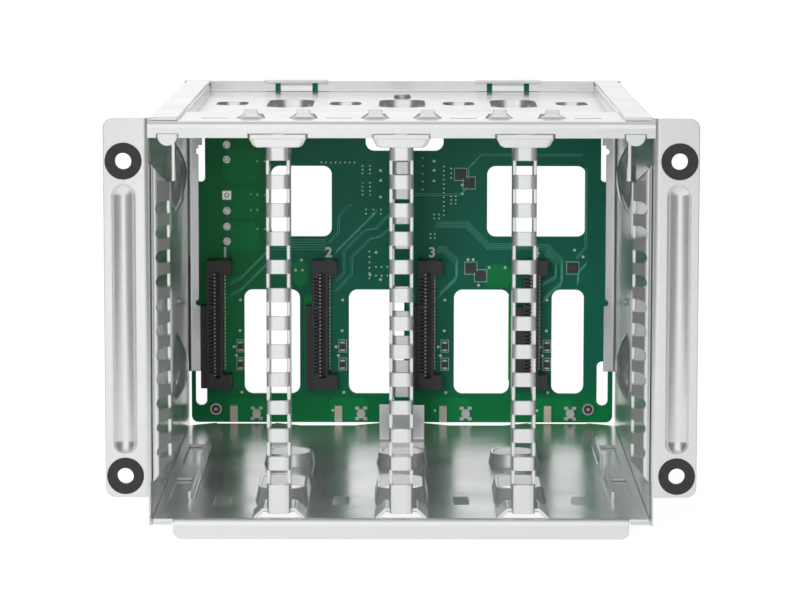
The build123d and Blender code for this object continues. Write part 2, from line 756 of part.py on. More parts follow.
# Upright finger, bent up out of the cover's front strip and narrower towards its tip
with BuildPart() as cover_finger:
    with BuildSketch(Plane.YZ.offset(-finger_root / 2)):
        with BuildLine():
            FilletPolyline(
                (-half, z_cover - half),
                (lip_root, z_cover - half),
                (lip_root, z_cover + finger_rise),
                radius=mid_bend,
            )
        trace(line_width=sheet)
    extrude(amount=finger_root)
    with BuildSketch(Plane.XZ.offset(lip_root)):
        with BuildLine():
            Polyline(
                (-finger_root / 2, z_cover - 2 * sheet),
                (finger_root / 2, z_cover - 2 * sheet),
                (finger_root / 2, z_cover + finger_root_height),
                (finger_foot / 2, z_cover + finger_foot_height),
                (finger_tip / 2, z_cover + finger_rise),
                (-finger_tip / 2, z_cover + finger_rise),
                (-finger_foot / 2, z_cover + finger_foot_height),
                (-finger_root / 2, z_cover + finger_root_height),
                close=True,
            )
        make_face()
    extrude(amount=-3 * lip_root, mode=Mode.INTERSECT)

with BuildPart() as top_cover:
    plate_x = wall_x - bend
    lintel_x = outer_x - seam
    cover_rear = y_board - seam
    add(stepped_space(0))
    add(stepped_space(sheet), mode=Mode.SUBTRACT)
    recess_half = outer_x - wall_top_return
    press_root = press_bend + sheet
    # The wall behind the sunk middle, with two notches for the clips of the board
    with BuildSketch(Plane.YZ.offset(-recess_half)):
        with BuildLine():
            FilletPolyline(
                (cover_rear - 2 * press_root, z_sink - half),
                (cover_rear - half, z_sink - half),
                (cover_rear - half, z_top - 2 * ear_drop),
                radius=press_bend + half,
            )
        trace(line_width=sheet)
    extrude(amount=2 * recess_half)
    with BuildSketch(Plane.YZ.offset(-recess_half - sheet)):
        with BuildLine():
            Polyline(
                (cover_rear - press_root, z_sink - sheet),
                (cover_rear + seam, z_sink - sheet),
                (cover_rear + seam, z_sink + press_bend),
                (cover_rear, z_sink + press_bend),
            )
            RadiusArc((cover_rear, z_sink + press_bend), (cover_rear - press_root, z_sink - sheet),
                      press_root)
        make_face()
    extrude(amount=2 * (recess_half + sheet), mode=Mode.SUBTRACT)
    clip_lines = (post_lines[0], post_lines[-1])
    with BuildSketch(Plane.XZ.offset(-(cover_rear - 2 * sheet))):
        with Locations(*[(x, z_sink) for x in clip_lines]):
            Rectangle(clip_notch, 2 * sink, align=(Align.CENTER, Align.MIN))
        with Locations(*[(x, z_top - sheet - seam) for x in clip_lines]):
            Rectangle(clip_bar + 4 * seam, sink, align=(Align.CENTER, Align.MIN))
    extrude(amount=-2 * lip_root, mode=Mode.SUBTRACT)
    # T-shaped clips: a tongue bent up in each notch, with a bar over the board's top edge
    for clip_x in clip_lines:
        with BuildSketch(Plane.YZ.offset(clip_x - clip_tongue / 2)):
            with BuildLine():
                FilletPolyline(
                    (cover_rear - 2 * lip_root, z_sink - half),
                    (cover_rear - half - sheet, z_sink - half),
                    (cover_rear - half, z_top - half),
                    (cover_rear + clip_bar_depth, z_top - half),
                    radius=press_bend + half,
                )
            trace(line_width=sheet)
        extrude(amount=clip_tongue)
        with BuildSketch(Plane.XY.offset(z_top - sheet)):
            with Locations((clip_x, cover_rear)):
                Rectangle(clip_bar, 2 * clip_bar_depth)
        extrude(amount=sheet)
    # Collars drawn down round the openings of the sunk middle
    slot_y = y_front + cover_slot_y
    draw_drums([(x, slot_y) for x in post_lines], z_sink, -1, cover_slot_width + 2 * sheet,
               cover_slot_length, cover_slot_ramp)
    draw_drums([(x, slot_y) for x in slot_lines], z_sink, -1, cover_slot_short + 2 * sheet,
               cover_slot_short_length, cover_slot_ramp)
    # Latch slots, and the upright fingers with their openings
    finger_lines = [x + side * finger_offset for x in front_lines for side in (-1, 1)]
    with BuildSketch(Plane.XY.offset(z_cover)):
        with Locations(*[(x, y_front + front_slot_y) for x in slot_lines]):
            Rectangle(front_slot_width, front_slot_length)
        for finger_x in finger_lines:
            gap_front = y_front + finger_y + lip_root / 2
            with BuildLine():
                Polyline(
                    (finger_x - finger_gap / 2, gap_front),
                    (finger_x + finger_gap / 2, gap_front),
                    (finger_x + finger_gap_rear / 2, gap_front + finger_gap_length),
                    (finger_x - finger_gap_rear / 2, gap_front + finger_gap_length),
                    close=True,
                )
            make_face()
    extrude(amount=-(sheet + seam), mode=Mode.SUBTRACT)
    with Locations(*[(x, y_front + finger_y, 0) for x in finger_lines]):
        add(cover_finger.part)
    # Notches in the lintel for the heads of the posts and the caps of the side ladders
    with BuildSketch(Plane.XZ.offset(-y_front)):
        with Locations(*[(x, z_top - lintel_height) for x in post_lines]):
            Rectangle(head_width + 4 * seam, 2 * (head_top + seam - z_top + lintel_height))
        with Locations(*[(side * cap_x, z_top - lintel_height) for side in (-1, 1)]):
            Rectangle(cap_width + 4 * seam, 2 * (head_top + seam - z_top + lintel_height))
    extrude(amount=-lip_root, mode=Mode.SUBTRACT)
    with Locations((0, y_front + rivet_y, z_sink)):
        Hole(rivet_shank / 2 + seam, lip_root)
top_cover.part.label = "top_cover"
export_step(top_cover.part, "parts/top_cover.step")

# Button rivet that fastens the rear post to the cover
with BuildPart() as cover_rivet:
    shank_bottom = z_sink - 2 * sheet - 2 * seam
    with BuildSketch(Plane.XZ.offset(-(y_front + rivet_y))):
        with BuildLine():
            Polyline(
                (0, shank_bottom), (0, z_sink + rivet_height),
                (rivet_shank / 2, z_sink + rivet_height),
            )
            ThreePointArc(
                (rivet_shank / 2, z_sink + rivet_height),
                (rivet_shoulder / 2, z_sink + rivet_shoulder_height),
                (rivet_diameter / 2, z_sink),
            )
            Polyline(
                (rivet_diameter / 2, z_sink), (rivet_shank / 2, z_sink),
                (rivet_shank / 2, shank_bottom), (0, shank_bottom),
            )
        make_face()
    revolve(axis=Axis((0, y_front + rivet_y, 0), (0, 0, 1)))
cover_rivet.part.label = "cover_rivet"
export_step(cover_rivet.part, "parts/cover_rivet.step")

# Backplane board, with large air windows, slots and edge notches
board_bottom = z_floor + board_lift
board_height = z_top - sheet - 2 * seam - board_bottom
with BuildPart() as backplane_board:
    with BuildSketch(Plane.XZ.offset(-y_board)):
        with Locations((0, board_bottom + board_height / 2)):
            RectangleRounded(2 * (wall_x - board_gap), board_height, board_corner)
        for left, right, low, high in board_windows:
            with Locations(((left + right) / 2, board_bottom + (low + high) / 2)):
                corner = min(window_corner, (right - left) / 2 - seam)
                RectangleRounded(right - left, high - low, corner, mode=Mode.SUBTRACT)
        with Locations(*[(side * board_screw_x, board_bottom + board_screw_z) for side in (-1, 1)]):
            Circle(board_screw_shank / 2, mode=Mode.SUBTRACT)
        with Locations(*[(power_x, board_bottom + z) for z in power_pins]):
            Circle(power_pin / 2 + seam / 2, mode=Mode.SUBTRACT)
    extrude(amount=-board_thickness)
backplane_board.part.label = "backplane_board"
export_step(backplane_board.part, "parts/backplane_board.step")

# The two screws at the board's lower corners, with a hexagon socket in each head
with BuildPart() as board_screws:
    for side in (-1, 1):
        with BuildSketch(Plane.XZ.offset(-y_board)):
            with Locations((side * board_screw_x, board_bottom + board_screw_z)):
                Circle(board_screw / 2)
        extrude(amount=screw_head)
        with BuildSketch(Plane.XZ.offset(-(y_board - screw_head))):
            with Locations((side * board_screw_x, board_bottom + board_screw_z)):
                RegularPolygon(board_screw_socket, 6)
        extrude(amount=-screw_head / 2, mode=Mode.SUBTRACT)
        with BuildSketch(Plane.XZ.offset(-y_board)):
            with Locations((side * board_screw_x, board_bottom + board_screw_z)):
                Circle(board_screw_shank / 2 - seam / 2)
        extrude(amount=-board_thickness)
board_screws.part.label = "board_screws"
export_step(board_screws.part, "parts/board_screws.step")

# Drive connectors, one standing upright at the left of each bay: a slotted bar between two
# end blocks, with contact grooves beside the slot and a row of solder tails on its right
connector_low = z_floor + connector_z - connector_length / 2
end_places = [
    connector_low + connector_end_height / 2,
    connector_low + connector_length - connector_end_height / 2,
]
upper_grooves = [end_places[1] - connector_end_height / 2 - contact_pitch * (n + 1)
                 for n in range(upper_contacts)]
lower_grooves = [end_places[0] + connector_end_height / 2 + contact_pitch * (n + 1)
                 for n in range(lower_contacts)]
for number, bay_x in enumerate(bay_lines, start=1):
    left_x = bay_x - connector_shift - connector_body / 2
    right_x = left_x + connector_body
    with BuildPart() as drive_connector:
        with BuildSketch(Plane.XZ.offset(-y_board)):
            with Locations((left_x + connector_body / 2, connector_low + connector_length / 2)):
                Rectangle(connector_body, connector_length)
            with Locations(*[(left_x + connector_end / 2, z) for z in end_places]):
                Rectangle(connector_end, connector_end_height)
            with Locations((left_x - connector_ledge / 2, connector_low + ledge_height / 2)):
                Rectangle(connector_ledge, ledge_height)
        extrude(amount=connector_reach)
        with BuildSketch(Plane.XZ.offset(-(y_board - connector_reach))):
            slot_x = right_x - connector_slot_edge - connector_slot / 2
            with Locations((slot_x, connector_low + connector_length / 2)):
                Rectangle(connector_slot, connector_slot_length)
        extrude(amount=-connector_slot_depth, mode=Mode.SUBTRACT)
        with BuildSketch(Plane.XZ.offset(-(y_board - connector_reach))):
            with Locations(*[(left_x + groove_edge + groove_width / 2, z)
                             for z in upper_grooves + lower_grooves]):
                Rectangle(groove_width, groove_height)
        extrude(amount=-groove_depth, mode=Mode.SUBTRACT)
        with BuildSketch(Plane.XZ.offset(-(y_board - connector_reach))):
            with Locations((left_x - connector_ledge / 2, connector_low + ledge_height / 2)):
                Rectangle(connector_ledge + seam, ledge_height + seam)
        extrude(amount=-ledge_sink, mode=Mode.SUBTRACT)
    drive_connector.part.label = f"drive_connector_{number}"
    export_step(drive_connector.part, f"parts/drive_connector_{number}.step")
    with BuildPart() as solder_tails:
        with BuildSketch(Plane.XZ.offset(-y_board)):
            with Locations(*[(right_x + tail_size, z) for z in upper_grooves + lower_grooves]):
                Rectangle(tail_size, tail_size)
        extrude(amount=tail_size)
        with BuildSketch(Plane.XZ.offset(-y_board)):
            with Locations((right_x + tail_size, connector_low + connector_length / 2)):
                Rectangle(
                    tail_size / 2,
                    upper_grooves[0] - lower_grooves[0] + tail_size,
                )
        extrude(amount=tail_size / 3)
    solder_tails.part.label = f"solder_tails_{number}"
    export_step(solder_tails.part, f"parts/solder_tails_{number}.step")

# Two indicator lamps at the foot of every bay: a slim one and a square one with four legs
with BuildPart() as slim_lamps:
    with BuildSketch(Plane.XZ.offset(-y_board)):
        with Locations(*[(x - slim_lamp_shift, z_lamp) for x in bay_lines]):
            Rectangle(slim_lamp, lamp_height)
    extrude(amount=lamp_reach)
    with BuildSketch(Plane.XZ.offset(-(y_board - lamp_reach))):
        with Locations(*[(x - slim_lamp_shift, z_lamp) for x in bay_lines]):
            Rectangle(slim_lens_width, slim_lens_height)
    extrude(amount=lens_height)
slim_lamps.part.label = "slim_lamps"
export_step(slim_lamps.part, "parts/slim_lamps.step")
with BuildPart() as square_lamps:
    with BuildSketch(Plane.XZ.offset(-y_board)):
        with Locations(*[(x + square_lamp_shift, z_lamp) for x in bay_lines]):
            Circle(square_lens)
            Rectangle(square_lamp_width, square_lamp_height)
    extrude(amount=lamp_reach)
    with BuildSketch(Plane.XZ.offset(-y_board)):
        with Locations(*[(x + square_lamp_shift + across * lamp_leg_x, z_lamp + up * lamp_leg_z)
                         for x in bay_lines for across in (-1, 1) for up in (-1, 1)]):
            Rectangle(lamp_leg_width, lamp_leg_height)
    extrude(amount=lens_height)
square_lamps.part.label = "square_lamps"
export_step(square_lamps.part, "parts/square_lamps.step")

# Small chips and two-pin parts on the board's front
with BuildPart() as board_chips:
    with BuildSketch(Plane.XZ.offset(-y_board)):
        for chip_x, chip_z in chip_places:
            with Locations((chip_x, board_bottom + chip_z)):
                Rectangle(chip_width, chip_length)
    extrude(amount=chip_height)
board_chips.part.label = "board_chips"
export_step(board_chips.part, "parts/board_chips.step")
with BuildPart() as two_pin_parts:
    with BuildSketch(Plane.XZ.offset(-y_board)):
        with Locations(*[(x - two_pin_shift, board_bottom + z)
                         for x in bay_lines for z in two_pin_heights]):
            Rectangle(two_pin_length, two_pin_width)
    extrude(amount=two_pin_width)
two_pin_parts.part.label = "two_pin_parts"
export_step(two_pin_parts.part, "parts/two_pin_parts.step")

# Power and cable sockets on the board's rear face, with the power pins' ends showing in front
y_rear = y_board + board_thickness
with BuildPart() as power_socket:
    with BuildSketch(Plane.XZ.offset(-y_rear)):
        with Locations((power_x, board_bottom + (power_pins[0] + power_pins[-1]) / 2)):
            Rectangle(power_width, power_pins[0] - power_pins[-1] + power_width)
    extrude(amount=-rear_connector_depth)
    with BuildSketch(Plane.XZ.offset(-(y_rear + rear_connector_depth))):
        with Locations((power_x, board_bottom + (power_pins[0] + power_pins[-1]) / 2)):
            Rectangle(power_width - 2 * socket_wall,
                      power_pins[0] - power_pins[-1] + power_width - 2 * socket_wall)
    extrude(amount=rear_connector_depth - 2 * socket_wall, mode=Mode.SUBTRACT)
    with BuildSketch(Plane.XZ.offset(-y_rear)):
        with Locations(*[(power_x, board_bottom + z) for z in power_pins]):
            Circle(power_pin / 2 + seam / 2)
    extrude(amount=-rear_connector_depth, mode=Mode.SUBTRACT)
power_socket.part.label = "power_socket"
export_step(power_socket.part, "parts/power_socket.step")
with BuildPart() as power_pin_row:
    with BuildSketch(Plane.XZ.offset(-y_board)):
        with Locations(*[(power_x, board_bottom + z) for z in power_pins]):
            Circle(power_pin / 2)
    extrude(amount=-(board_thickness + rear_connector_depth - socket_wall))
    with BuildSketch(Plane.XZ.offset(-y_board)):
        with Locations(*[(power_x, board_bottom + z) for z in power_pins]):
            Circle(power_pad / 2)
    extrude(amount=pad_height)
power_pin_row.part.label = "power_pin_row"
export_step(power_pin_row.part, "parts/power_pin_row.step")
for number, (socket_x, socket_z) in enumerate(cable_places, start=1):
    with BuildPart() as cable_socket:
        with BuildSketch(Plane.XZ.offset(-y_rear)):
            with Locations((socket_x, board_bottom + socket_z)):
                Rectangle(cable_width, cable_length)
        extrude(amount=-rear_connector_depth)
        with BuildSketch(Plane.XZ.offset(-(y_rear + rear_connector_depth))):
            with Locations((socket_x, board_bottom + socket_z)):
                Rectangle(cable_width - 2 * socket_wall, cable_length - 2 * socket_wall)
                Rectangle(cable_tongue, cable_length - 4 * socket_wall, mode=Mode.SUBTRACT)
        extrude(amount=rear_connector_depth - 2 * socket_wall, mode=Mode.SUBTRACT)
    cable_socket.part.label = f"cable_socket_{number}"
    export_step(cable_socket.part, f"parts/cable_socket_{number}.step")

# Rubber grommets in the ears: a waist through the sheet between two flat rings
for name, side, bolt_z in (
    ("lower_left_grommet", -1, bolt_low_z),
    ("upper_left_grommet", -1, bolt_high_z),
    ("lower_right_grommet", 1, bolt_low_z),
    ("upper_right_grommet", 1, bolt_high_z),
):
    with BuildPart() as grommet:
        with BuildSketch(Plane((side * bolt_span_x / 2, y_front, bolt_z), z_dir=(0, -1, 0))):
            Circle(grommet_diameter / 2)
        extrude(amount=grommet_proud)
        fillet(grommet.edges().filter_by(GeomType.CIRCLE).group_by(Axis.Y)[0], grommet_proud / 2)
        with BuildSketch(Plane((side * bolt_span_x / 2, y_front, bolt_z), z_dir=(0, 1, 0))):
            Circle(grommet_waist / 2 - seam / 2)
        extrude(amount=sheet)
        with BuildSketch(Plane((side * bolt_span_x / 2, y_front + sheet, bolt_z), z_dir=(0, 1, 0))):
            Circle(grommet_diameter / 2)
        extrude(amount=grommet_proud)
        with BuildSketch(Plane((side * bolt_span_x / 2, y_front, bolt_z), z_dir=(0, 1, 0))):
            Circle(grommet_bore / 2)
        extrude(amount=2 * lip_root, both=True, mode=Mode.SUBTRACT)
    grommet.part.label = name
    export_step(grommet.part, f"parts/{name}.step")
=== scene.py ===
import math

import bmesh
import bpy
from mathutils import Matrix, Vector


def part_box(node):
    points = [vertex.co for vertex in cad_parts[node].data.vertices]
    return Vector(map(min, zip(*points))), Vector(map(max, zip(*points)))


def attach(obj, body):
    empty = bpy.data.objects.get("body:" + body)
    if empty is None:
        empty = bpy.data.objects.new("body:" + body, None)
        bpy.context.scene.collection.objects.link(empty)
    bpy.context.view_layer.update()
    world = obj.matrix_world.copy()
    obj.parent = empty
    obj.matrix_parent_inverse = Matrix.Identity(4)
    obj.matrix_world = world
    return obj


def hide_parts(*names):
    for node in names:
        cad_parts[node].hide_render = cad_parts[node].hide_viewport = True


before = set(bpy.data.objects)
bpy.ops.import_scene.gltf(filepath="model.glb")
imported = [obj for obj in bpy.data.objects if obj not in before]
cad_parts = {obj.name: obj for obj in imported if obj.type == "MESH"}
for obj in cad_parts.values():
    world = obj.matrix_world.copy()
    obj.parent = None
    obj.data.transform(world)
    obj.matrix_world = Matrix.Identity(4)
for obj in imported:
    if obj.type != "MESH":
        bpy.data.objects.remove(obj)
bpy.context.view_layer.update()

# Sheet-metal pieces: floor, walls with their ears, cover, posts and ladders. They are punched and
# bent from zinc-plated steel one millimetre thick, with a smooth bright plating that mirrors its
# surroundings a little cloudily.
steel_colour = (0.79, 0.805, 0.80, 1)
steel_dim = 0.94             # share of that colour in the dimmest specks
steel_metal = 0.86           # the rest is a faint dull haze, stronger on the floor
floor_metal = 0.72
steel_cloud, cloud_low, cloud_high = 45, 0.3, 0.7
steel_grain, grain_relief, grain_depth = 400, 0.04, 0.0005
sheet_edge = 0.00045         # radius at which the sheared edges catch the light


def node_adder(tree):
    """Function that adds a node to a tree, joins or sets its inputs, and returns it."""

    def add(kind, inputs=None, **settings):
        node = tree.nodes.new(kind)
        for key, value in settings.items():
            setattr(node, key, value)
        for key, value in (inputs or {}).items():
            if isinstance(value, bpy.types.NodeSocket):
                tree.links.new(value, node.inputs[key])
            else:
                node.inputs[key].default_value = value
        return node

    return add


def new_material(name):
    """Material with its Principled shader, and functions that add nodes and join them to it."""
    material = bpy.data.materials.new(name)
    material.use_nodes = True
    tree = material.node_tree
    shader = tree.nodes["Principled BSDF"]

    def join(source, key):
        tree.links.new(source, shader.inputs[key])

    return material, shader, node_adder(tree), join


def wear(nodes, material):
    """Give CAD nodes one material."""
    for name in nodes:
        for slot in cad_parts[name].material_slots:
            slot.material = material


def zinc_steel(name, colour, roughness_low, roughness_high, metal=steel_metal):
    """Bright metal with a cloudy sheen, a fine grain and edges that catch the light."""
    material, shader, add, join = new_material(name)
    shader.inputs["Metallic"].default_value = metal
    place = add("ShaderNodeTexCoord").outputs["Object"]
    cloud = add("ShaderNodeTexNoise", {"Vector": place, "Scale": steel_cloud, "Detail": 4})
    grain = add("ShaderNodeTexNoise", {"Vector": place, "Scale": steel_grain, "Detail": 3})
    sheen = add("ShaderNodeMapRange", {
        "Value": cloud.outputs["Fac"], "From Min": cloud_low, "From Max": cloud_high,
        "To Min": roughness_low, "To Max": roughness_high,
    })
    join(sheen.outputs["Result"], "Roughness")
    tint = add("ShaderNodeMixRGB", {
        "Fac": grain.outputs["Fac"],
        "Color1": colour, "Color2": [c * steel_dim for c in colour[:3]] + [1],
    })
    join(tint.outputs["Color"], "Base Color")
    edge = add("ShaderNodeBevel", {"Radius": sheet_edge}, samples=4)
    bump = add("ShaderNodeBump", {
        "Height": grain.outputs["Fac"], "Strength": grain_relief, "Distance": grain_depth,
        "Normal": edge.outputs["Normal"],
    })
    join(bump.outputs["Normal"], "Normal")
    return material


bright_zinc = zinc_steel("bright_zinc", steel_colour, 0.16, 0.26)
wear(
    ["left_side_wall", "right_side_wall", "top_cover", "divider_post_1",
     "divider_post_2", "divider_post_3", "left_side_ladder", "right_side_ladder",
     "rear_centre_post"],
    bright_zinc,
)
floor_zinc = zinc_steel("floor_zinc", steel_colour, 0.17, 0.27, metal=floor_metal)
wear(["floor_pan"], floor_zinc)

# Button rivet of the cover and the two screws of the board. They are turned from plain steel, a
# little darker and duller than the plated sheet; the rivet is headed over, the screws are driven in.
rivet_steel = zinc_steel("rivet_steel", (0.60, 0.59, 0.58, 1), 0.28, 0.4)
wear(["cover_rivet", "board_screws"], rivet_steel)

# Grommets: thick rings moulded from dark grey rubber, with a dull, slightly grainy skin. They are
# pushed through the four holes of the ears.
rubber_dark, rubber_pale = (0.012, 0.012, 0.013, 1), (0.03, 0.03, 0.032, 1)
rubber_roughness = 0.62
rubber_grain, rubber_relief, rubber_depth = 900, 0.25, 0.0003
skin_grain, skin_relief, skin_depth = 1500, 0.15, 0.0002      # of hard moulded pieces


def dull_finish(name, colour, other, roughness, scale=skin_grain, detail=4, relief=skin_relief,
                depth=skin_depth, gloss=0.5):
    """Dull material whose colour, and surface where it has relief, waver with a fine grain."""
    material, shader, add, join = new_material(name)
    place = add("ShaderNodeTexCoord").outputs["Object"]
    grain = add("ShaderNodeTexNoise", {"Vector": place, "Scale": scale, "Detail": detail})
    tint = add("ShaderNodeMixRGB", {"Fac": grain.outputs["Fac"], "Color1": colour, "Color2": other})
    join(tint.outputs["Color"], "Base Color")
    shader.inputs["Roughness"].default_value = roughness
    shader.inputs["Specular IOR Level"].default_value = gloss
    if relief:
        bump = add("ShaderNodeBump",
                   {"Height": grain.outputs["Fac"], "Strength": relief, "Distance": depth})
        join(bump.outputs["Normal"], "Normal")
    return material


grommet_rubber = dull_finish("grommet_rubber", rubber_dark, rubber_pale, rubber_roughness,
                             rubber_grain, 5, rubber_relief, rubber_depth)
wear(["lower_left_grommet", "upper_left_grommet", "lower_right_grommet", "upper_right_grommet"],
     grommet_rubber)

# Backplane board: glass-fibre board under a green solder mask. It is greener over the solid copper
# at its left and lower edges, and bluer where the tracks run.
track_greens = (0.002, 0.13, 0.08, 1), (0.006, 0.22, 0.14, 1)
copper_greens = (0.001, 0.19, 0.05, 1), (0.002, 0.27, 0.08, 1)
copper_at_left = -0.038, -0.05         # where the solid copper starts to show, and shows fully
copper_at_foot = 0.022, 0.014
mask_roughness, mask_gloss = 0.3, 0.2
mask_cloud = 60
weave_grain, weave_relief, weave_depth = 2500, 0.06, 0.0002      # of the glass cloth under the mask
board_green, shader, add, join = new_material("board_green")
place = add("ShaderNodeTexCoord").outputs["Object"]
cloud = add("ShaderNodeTexNoise", {"Vector": place, "Scale": mask_cloud, "Detail": 3})
weave = add("ShaderNodeTexNoise", {"Vector": place, "Scale": weave_grain, "Detail": 2})
track_layer, solid_copper = [
    add("ShaderNodeMixRGB", {"Fac": cloud.outputs["Fac"], "Color1": dark, "Color2": pale})
    for dark, pale in (track_greens, copper_greens)
]
axes = add("ShaderNodeSeparateXYZ", {0: place})
at_left, at_foot = [
    add("ShaderNodeMapRange", {"Value": axes.outputs[axis], "From Min": start, "From Max": full})
    for axis, (start, full) in (("X", copper_at_left), ("Z", copper_at_foot))
]
solid = add("ShaderNodeMath", {0: at_left.outputs[0], 1: at_foot.outputs[0]}, operation="MAXIMUM")
tint = add("ShaderNodeMixRGB", {
    "Fac": solid.outputs[0], "Color1": track_layer.outputs["Color"],
    "Color2": solid_copper.outputs["Color"],
})
join(tint.outputs["Color"], "Base Color")
shader.inputs["Roughness"].default_value = mask_roughness
shader.inputs["Specular IOR Level"].default_value = mask_gloss
bump = add("ShaderNodeBump", {
    "Height": weave.outputs["Fac"], "Strength": weave_relief, "Distance": weave_depth,
})
join(bump.outputs["Normal"], "Normal")
wear(["backplane_board"], board_green)

# Drive connectors and cable sockets: blocks moulded from black plastic and pressed into the board.
# Their bright contact tails, and the pins of the power socket, are stamped from tin-plated metal.
black_plastic = dull_finish("black_plastic", (0.042, 0.039, 0.043, 1), (0.072, 0.067, 0.073, 1), 0.42)
wear([f"drive_connector_{n}" for n in (1, 2, 3, 4)] + ["cable_socket_1", "cable_socket_2"],
     black_plastic)
bright_tin = zinc_steel("bright_tin", (0.72, 0.72, 0.68, 1), 0.25, 0.36)
wear([f"solder_tails_{n}" for n in (1, 2, 3, 4)] + ["power_pin_row"], bright_tin)

# Lamps and chips, soldered to the front of the board, and the power socket behind it. They are small
# bodies moulded from cream and pale plastic, dark resin and white nylon.
for node, name, colour, other, roughness in (
    ("slim_lamps", "cream_lamp", (0.72, 0.68, 0.55, 1), (0.8, 0.77, 0.66, 1), 0.4),
    ("square_lamps", "pale_lamp", (0.6, 0.62, 0.6, 1), (0.75, 0.76, 0.74, 1), 0.35),
    ("board_chips", "chip_resin", (0.05, 0.052, 0.052, 1), (0.09, 0.09, 0.09, 1), 0.5),
    ("power_socket", "white_nylon", (0.75, 0.74, 0.7, 1), (0.82, 0.81, 0.77, 1), 0.45),
):
    wear([node], dull_finish(name, colour, other, roughness))

# Copper areas of the board: broad tracks for the drives' current, seen through the green mask as
# brighter patches that stand a hair above the board. Places are in millimetres on the board, from
# the middle of the cage and up from the board's lower edge.
mm = 0.001
board_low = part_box("backplane_board")[0]
print_pitch = 35.9           # from one bay's small parts to the next on the board
copper_thickness = 0.05
power_corner, drive_corner = 2.2, 1.2


def on_board(x, z, proud=0):
    """Point on the front of the board, or that far before it."""
    return Vector((x * mm, board_low[1] - proud * mm, board_low[2] + z * mm))


def add_block(shape, size, middle):
    """Block of a size in millimetres round a point, added to a shape."""
    corners = bmesh.ops.create_cube(shape, size=mm)["verts"]
    bmesh.ops.scale(shape, verts=corners, vec=size)
    bmesh.ops.translate(shape, verts=corners, vec=middle)


def round_edges(shape, radius, segments, edges=None):
    """Round all edges of a shape, or only some, to a radius in millimetres."""
    bmesh.ops.bevel(shape, geom=edges or shape.edges[:], offset=radius * mm, segments=segments,
                    profile=0.5, affect="EDGES", material=-1)


def keep_mesh(name, data, material):
    """Finished mesh as a piece of the cage, riding on it, with the slot of its finish."""
    data.materials.clear()
    data.materials.append(material)
    piece = bpy.data.objects.new(name, data)
    bpy.context.collection.objects.link(piece)
    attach(piece, "root")
    return piece


def keep_shape(name, shape, material):
    """Finished bmesh shape as a piece of the cage."""
    data = bpy.data.meshes.new(name)
    shape.to_mesh(data)
    shape.free()
    return keep_mesh(name, data, material)


def board_plates(name, plates, material, thickness, corner):
    """Thin plates on the board, from the low and high x and z of each, with cut corners."""
    shape = bmesh.new()
    for x_low, x_high, z_low, z_high in plates:
        middle = on_board((x_low + x_high) / 2, (z_low + z_high) / 2, thickness / 2)
        add_block(shape, (x_high - x_low, thickness, z_high - z_low), middle)
    corners = [e for e in shape.edges if abs((e.verts[0].co - e.verts[1].co).y) > thickness * mm / 2]
    round_edges(shape, corner, 1, corners)
    return keep_shape(name, shape, material)


copper_under_mask = dull_finish("copper_under_mask", (0.001, 0.24, 0.06, 1), (0.003, 0.34, 0.1, 1),
                                mask_roughness, scale=160, detail=3, relief=0.1, gloss=mask_gloss)
board_plates(
    "power_areas",
    [(-62.7, -50.1, 84.4, 96.6), (-63.3, -50.1, 71.9, 83.6), (-62, -50.1, 60.5, 71.1),
     (-38.2, -33.1, 47.9, 58.2), (28.3, 38.7, 47.9, 56)],
    copper_under_mask, copper_thickness, power_corner,
)
board_plates(
    "drive_areas",
    [(-61.4 + k * print_pitch, -48 + k * print_pitch, 0.8, 8.6) for k in range(4)]
    + [(-34.5 + k * print_pitch, -31.4 + k * print_pitch, 14, 46) for k in range(3)],
    copper_under_mask, copper_thickness, drive_corner,
)

# Signal tracks: fine copper lines in parallel pairs and bundles from the chips to the drive
# connectors. They show as paler green ridges under the mask.
track_width = 0.28
track_step = 0.62            # from one track of a bundle to the next


def board_lines(name, paths, width, material):
    """Fine lines on the board along open or closed paths, as one mesh."""
    curve = bpy.data.curves.new(name, "CURVE")
    curve.dimensions = "3D"
    curve.bevel_depth = width * mm / 2
    curve.bevel_resolution = 1
    curve.use_fill_caps = True
    for points, closed in paths:
        line = curve.splines.new("POLY")
        line.points.add(len(points) - 1)
        line.use_cyclic_u = closed
        for point, (x, z) in zip(line.points, points):
            point.co = (*on_board(x, z), 1)
    drawn = bpy.data.objects.new(name + "_drawn", curve)
    data = bpy.data.meshes.new_from_object(drawn)
    bpy.data.objects.remove(drawn)
    return keep_mesh(name, data, material)


